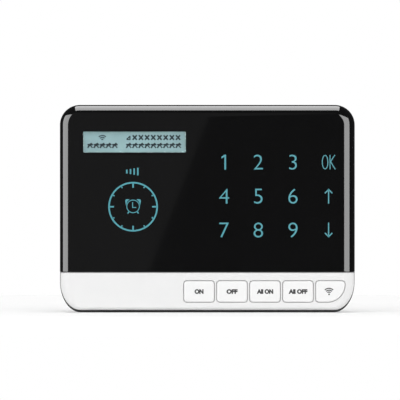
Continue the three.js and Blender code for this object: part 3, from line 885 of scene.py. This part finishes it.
def lettering(name, text, place, height, body, slot, stretch, weight):
    """Printed text of a given height, centred at place and stretched across. A weight above
    or below 0 thickens or thins the font's strokes by that share of its size."""
    x, y, z = place
    curve = bpy.data.curves.new(name, "FONT")
    curve.body = text
    curve.resolution_u = 6
    curve.extrude = 0.5
    curve.offset = weight
    source = bpy.data.objects.new(name + "_text", curve)
    bpy.context.scene.collection.objects.link(source)
    bpy.context.view_layer.update()
    graph = bpy.context.evaluated_depsgraph_get()
    mesh = bpy.data.meshes.new_from_object(source.evaluated_get(graph))
    bpy.data.objects.remove(source)
    xs = [v.co.x for v in mesh.vertices]
    ys = [v.co.y for v in mesh.vertices]
    scale = height / (max(ys) - min(ys))
    middle_x, middle_y = (min(xs) + max(xs)) / 2, (min(ys) + max(ys)) / 2
    for vertex in mesh.vertices:
        vertex.co = point(
            x + (vertex.co.x - middle_x) * scale * stretch,
            y + (vertex.co.y - middle_y) * scale,
            z + (vertex.co.z + 0.5) * PRINT_THICK,
        )
    attach(new_object(name, mesh), body, slot)


PRINT_LIFT = 0.01
PRINT_Z = FACE + PRINT_LIFT
DIGIT_COLUMNS = [10.5, 31.9, 53.6]
SIDE_COLUMN = 76.0
KEY_ROWS = [28.4, 7.1, -14.1]
DIGIT_HEIGHT, DIGIT_STRETCH, DIGIT_WEIGHT = 9.3, 1.04, -0.012


def digits():
    draw_one("digit_1", DIGIT_COLUMNS[0], KEY_ROWS[0])
    for digit in range(2, 10):
        place = (DIGIT_COLUMNS[(digit - 1) % 3], KEY_ROWS[(digit - 1) // 3], PRINT_Z)
        lettering(
            f"digit_{digit}", str(digit), place, DIGIT_HEIGHT, "panel", "legend_cyan",
            DIGIT_STRETCH, DIGIT_WEIGHT,
        )


def confirm_legend():
    """A narrow OK: an oval, and a K of two strokes."""
    confirm = Print("legend_ok", PRINT_Z)
    y, half, stroke = KEY_ROWS[0], 4.5, 0.52
    x = SIDE_COLUMN - 2.3
    ring = [
        (x + 1.75 * math.cos(turn), y + (half - stroke / 2) * math.sin(turn))
        for turn in (2 * math.pi * i / 36 for i in range(36))
    ]
    confirm.line(ring, stroke, closed=True)
    x = SIDE_COLUMN + 0.8
    confirm.line([(x, y - half), (x, y + half)], stroke)
    confirm.line([(x + 3.0, y + half), (x + 0.35, y + 0.3), (x + 3.3, y - half)], stroke)
    confirm.make("panel", "legend_cyan")


def arrow_legends():
    for name, y, way in (("legend_up", KEY_ROWS[1], 1), ("legend_down", KEY_ROWS[2], -1)):
        arrow = Print(name, PRINT_Z)
        half, head, stroke = 4.6, 2.3, 0.7
        x, tip = SIDE_COLUMN - 0.1, y + way * half
        arrow.line([(x, y - way * half), (x, tip - way * 0.5)], stroke)
        arrow.line(
            [(x - head, tip - way * 2.8), (x, tip - way * 0.4), (x + head, tip - way * 2.8)], stroke,
        )
        arrow.make("panel", "legend_cyan")


def draw_one(name, x, y):
    """The digit 1, with a flag and no foot."""
    half, stroke = DIGIT_HEIGHT / 2, 1.05
    digit = Print(name, PRINT_Z)
    stem = x + 0.7
    digit.line([(stem, y - half), (stem, y + half)], stroke)
    digit.shape([
        (stem - 2.35, y + half - 2.35), (stem - 2.35, y + half - 1.2),
        (stem - 0.5, y + half), (stem - 0.5, y + half - 1.35),
    ][::-1])
    digit.make("panel", "legend_cyan")


DIAL_X, DIAL_Y = -46.5, 0.5


def dial():
    """A ring with twelve ticks."""
    x, y, radius, stroke = DIAL_X, DIAL_Y, 15.05, 1.0
    ring = Print("dial_ring", PRINT_Z)
    ring.arc(x, y, radius, 0, 360, stroke, 96)
    ring.make("panel", "legend_cyan")
    ticks = Print("dial_ticks", PRINT_Z)
    for hour in range(12):
        angle = math.radians(30 * hour)
        long = hour % 3 == 0
        outer = radius - stroke / 2 + 0.1
        inner = outer - (2.7 if long else 1.2)
        path = [(x + r * math.cos(angle), y + r * math.sin(angle)) for r in (outer, inner)]
        ticks.line(path, 1.0 if long else 0.75)
    ticks.make("panel", "legend_cyan")


def clock_sign():
    """An alarm clock with two bells and two feet."""
    clock = Print("clock_sign", PRINT_Z)
    x, y = DIAL_X, DIAL_Y + 0.2
    clock.arc(x, y, 3.95, 0, 360, 0.5, 48)
    clock.line([(x - 0.3, y + 2.6), (x - 0.3, y - 0.7), (x + 2.0, y - 0.7)], 0.52)
    for side in (-1, 1):
        bell = [(4.45, 0.6), (4.95, 3.6), (4.3, 4.5), (2.1, 4.5), (3.6, 3.1)]
        clock.shape([(x + side * u, y + v) for u, v in bell[::side]])
        clock.line([(x + side * 2.4, y - 3.1), (x + side * 3.4, y - 4.4)], 0.8)
    clock.make("panel", "legend_cyan")


def signal_bars():
    """Four bars, each a little taller than the last."""
    bars = Print("signal_bars", PRINT_Z)
    first, pitch, width, middle = -50.9, 2.3, 0.95, 22.5
    shortest, step = 1.2, 0.38
    for index in range(4):
        left = first + pitch * index
        half = shortest + step * index
        bars.shape([
            (left, middle - half), (left + width, middle - half),
            (left + width, middle + half), (left, middle + half),
        ])
    bars.make("panel", "legend_cyan")


def display_marks():
    """Placeholder marks in two rows, with a small wireless sign."""
    marks = Print("display_marks", GLASS.front + PRINT_LIFT)
    pitch, heavy, fine = 3.88, 0.95, 0.7
    upper, lower = WINDOW.top - 3.55, WINDOW.top - 8.5
    first_cross, first_tick, triangle = WINDOW.left + 32.1, WINDOW.left + 4.2, WINDOW.left + 28.3
    half_wide, half_high = 1.3, 1.45
    for index in range(8):
        x = first_cross + pitch * index
        for way in (-half_wide, half_wide):
            marks.line([(x - way, upper - half_high), (x + way, upper + half_high)], heavy)
    x = triangle
    marks.line([(x - 1.3, upper - 1.2), (x + 0.8, upper - 1.2), (x + 0.8, upper + 0.9)], fine)
    marks.line([(x - 1.3, upper - 1.2), (x + 0.8, upper + 0.9)], fine)
    for index in list(range(5)) + list(range(6, 15)):
        x = first_tick + pitch * (index if index < 6 else index + 0.25)
        marks.line([(x - 1.6, lower - 1.6), (x - 0.6, lower), (x + 0.9, lower + 1.5)], heavy)
        marks.line([(x - 1.75, lower + 0.5), (x + 1.75, lower + 0.5)], heavy)
        marks.line([(x + 0.1, lower), (x + 1.5, lower - 1.6)], fine)
    x, y = WINDOW.left + 11.8, WINDOW.top - 5.6
    for radius in (0.9, 2.1, 3.3):
        marks.arc(x, y, radius, 48, 132, fine, 10)
    marks.make("panel", "display_ink")


KEY_LETTERS = {
    "key_on": ("ON", 0.97), "key_off": ("OFF", 1.06), "key_all_on": ("All ON", 0.93),
    "key_all_off": ("All OFF", 1.0),
}  # each with its sideways stretch
KEY_LETTER_HEIGHT, KEY_LETTER_WEIGHT = 3.0, 0.07
KEY_PRINT_LIFT = 0.005


def key_legends():
    """Words on four of the keys, and a three-arc radio sign on the last."""
    for node, (text, stretch) in KEY_LETTERS.items():
        span = KEYS[node]
        lettering(
            "print_" + node, text, (span.x, span.y, span.front + KEY_PRINT_LIFT),
            KEY_LETTER_HEIGHT, node, "legend_grey", stretch, KEY_LETTER_WEIGHT,
        )
    span = KEYS["key_wireless"]
    x, y = span.x - 0.9, span.y - 1.75
    sign = Print("print_key_wireless", span.front + KEY_PRINT_LIFT)
    for radius in (1.45, 2.6, 3.75):
        sign.arc(x, y, radius, 46, 134, 0.68, 16)
    sign.shape(circle(x, y, 0.55, 16))
    sign.make("key_wireless", "legend_grey")


# ---- stage, light and camera ----

# Distances and sizes of the stage are in metres; places on the panel stay in millimetres.
CAMERA_FAR = 2.4  # from the panel's face
CAMERA_X, CAMERA_Y = -4.6, 4.7
HALF_VIEW = 0.1252  # half the width that the camera sees at the face
FRONT_WORLD, BACK_WORLD = 0.77, 0.1  # diffuse light from in front and from behind
TOP_WORLD = 0.86  # added straight up, taken away straight down
GLOSSY_WORLD = 0.092
FLOOR_RADIUS = 0.43
FLOOR_LIFT = 0.05  # a faint glow that only the camera sees
SHEEN_EDGE = ((1.6, 58.7), (-34.1, -34.2))  # where the step crosses the black face
SHEEN_RADIANCE = 0.134
SHEEN_FAR = 0.6  # from the panel's face
SHEEN_WIDE, SHEEN_HIGH = 0.6, 0.8


def floor():
    """A plain pale disc just under the panel."""
    z = (HOUSING.bottom - 0.05) * MM
    work = bmesh.new()
    work.faces.new([work.verts.new((x, y, z)) for x, y in circle(0, 0, FLOOR_RADIUS, 96)])
    mesh = bpy.data.meshes.new("floor")
    work.to_mesh(mesh)
    work.free()
    ground = Recipe("floor", (0.93, 0.93, 0.93), 0.9)
    ground.vary_color(40, (0.925, 0.925, 0.925), (0.935, 0.935, 0.935))
    ground.shader.inputs["Emission Color"].default_value = (1, 1, 1, 1)
    seen = ground.tree.nodes.new("ShaderNodeLightPath").outputs["Is Camera Ray"]
    lift = ground.spread(seen, 0.0, FLOOR_LIFT)
    ground.tree.links.new(lift, ground.shader.inputs["Emission Strength"])
    new_object("floor", mesh, ground.material)


def reflected_light(name, width, height, radiance):
    """A rectangular light that shows only in reflections."""
    lamp = bpy.data.lights.new(name, "AREA")
    lamp.shape = "RECTANGLE"
    lamp.size, lamp.size_y = width, height
    lamp.energy = radiance * math.pi * width * height
    thing = new_object(name, lamp)
    thing.visible_diffuse = False
    thing.visible_camera = False
    return thing


def softbox(name, direction, distance, width, height, radiance):
    """A light facing the panel from (azimuth from the front, elevation), in degrees."""
    azimuth, elevation = (math.radians(value) for value in direction)
    level = math.cos(elevation)
    way = Vector((math.sin(azimuth) * level, -math.cos(azimuth) * level, math.sin(elevation)))
    thing = reflected_light(name, width, height, radiance)
    thing.location = way * distance
    thing.rotation_euler = way.to_track_quat("Z", "Y").to_euler()


def world():
    """White to the camera, soft light mostly from the front, and a dark studio in reflections."""
    sky = bpy.data.worlds.new("studio")
    bpy.context.scene.world = sky
    sky.use_nodes = True
    tree = sky.node_tree
    tree.nodes.clear()

    def background(strength):
        made = tree.nodes.new("ShaderNodeBackground")
        made.inputs["Color"].default_value = (1, 1, 1, 1)
        made.inputs["Strength"].default_value = strength
        return made

    def fade(axis, low, high):
        """A value that runs from low to high along an axis."""
        made = tree.nodes.new("ShaderNodeMapRange")
        for socket, value in (("From Min", -1), ("From Max", 1), ("To Min", low), ("To Max", high)):
            made.inputs[socket].default_value = value
        tree.links.new(axis, made.inputs["Value"])
        return made.outputs["Result"]

    def choose(ray, otherwise, chosen):
        """Shows one background to a kind of ray, and the other to the rest."""
        made = tree.nodes.new("ShaderNodeMixShader")
        tree.links.new(path.outputs[ray], made.inputs["Fac"])
        tree.links.new(otherwise.outputs[0], made.inputs[1])
        tree.links.new(chosen.outputs[0], made.inputs[2])
        return made

    path = tree.nodes.new("ShaderNodeLightPath")
    direction = tree.nodes.new("ShaderNodeTexCoord")
    axes = tree.nodes.new("ShaderNodeSeparateXYZ")
    tree.links.new(direction.outputs["Generated"], axes.inputs["Vector"])
    total = tree.nodes.new("ShaderNodeMath")
    total.operation = "ADD"
    tree.links.new(fade(axes.outputs["Y"], FRONT_WORLD, BACK_WORLD), total.inputs[0])
    tree.links.new(fade(axes.outputs["Z"], -TOP_WORLD, TOP_WORLD), total.inputs[1])
    diffuse = background(1.0)
    tree.links.new(total.outputs[0], diffuse.inputs["Strength"])
    scattered = choose("Is Glossy Ray", diffuse, background(GLOSSY_WORLD))
    seen = choose("Is Camera Ray", scattered, background(1.0))
    out = tree.nodes.new("ShaderNodeOutputWorld")
    tree.links.new(seen.outputs[0], out.inputs["Surface"])


def sheen_sheet():
    """A faint slanted light whose edge shows as a diagonal step across the black face."""
    stretch = 1 + SHEEN_FAR / CAMERA_FAR
    ends = []
    for x, y in SHEEN_EDGE:
        ends.append((CAMERA_X + (x - CAMERA_X) * stretch, CAMERA_Y + (y - CAMERA_Y) * stretch))
    (x0, y0), (x1, y1) = ends
    lean = math.atan2(x0 - x1, y0 - y1)
    middle_x = (x0 + x1) / 2 * MM - SHEEN_WIDE / 2 * math.cos(lean)
    middle_z = (y0 + y1) / 2 * MM + SHEEN_WIDE / 2 * math.sin(lean)
    thing = reflected_light("sheen", SHEEN_WIDE, SHEEN_HIGH, SHEEN_RADIANCE)
    thing.location = (middle_x, -FACE * MM - SHEEN_FAR, middle_z)
    thing.rotation_euler = (math.pi / 2, lean, 0)


def camera():
    """Straight on, a little to the left of the panel's middle and above it."""
    eye = bpy.data.cameras.new("camera")
    eye.sensor_width = 36
    eye.lens = eye.sensor_width / 2 * CAMERA_FAR / HALF_VIEW
    eye.clip_end = 100
    thing = new_object("camera", eye)
    thing.location = (CAMERA_X * MM, -FACE * MM - CAMERA_FAR, CAMERA_Y * MM)
    thing.rotation_euler = (math.pi / 2, 0, 0)
    bpy.context.scene.camera = thing


def studio():
    """A white floor and background, three soft boxes and the camera."""
    bpy.context.scene.view_settings.view_transform = "Standard"
    world()
    floor()
    softbox("left_box", (-57.5, 9), 1.2, 1.06, 1.2, 8.5)
    softbox("right_box", (35.3, 4), 1.3, 1.0, 1.0, 8.5)
    softbox("top_box", (0, 85), 1.0, 0.73, 1.12, 10.1)
    sheen_sheet()
    camera()


dress_frame()
front_cover()
lower_trim()
for key_node in KEY_NODES:
    push_key(key_node)
display()
rear_housing()
wall_bracket()
for screw_node in CASE_SCREWS:
    case_screw(screw_node)
tamper_plunger()
power_knob()
terminal_screws()
digits()
confirm_legend()
arrow_legends()
dial()
clock_sign()
signal_bars()
display_marks()
key_legends()
studio()
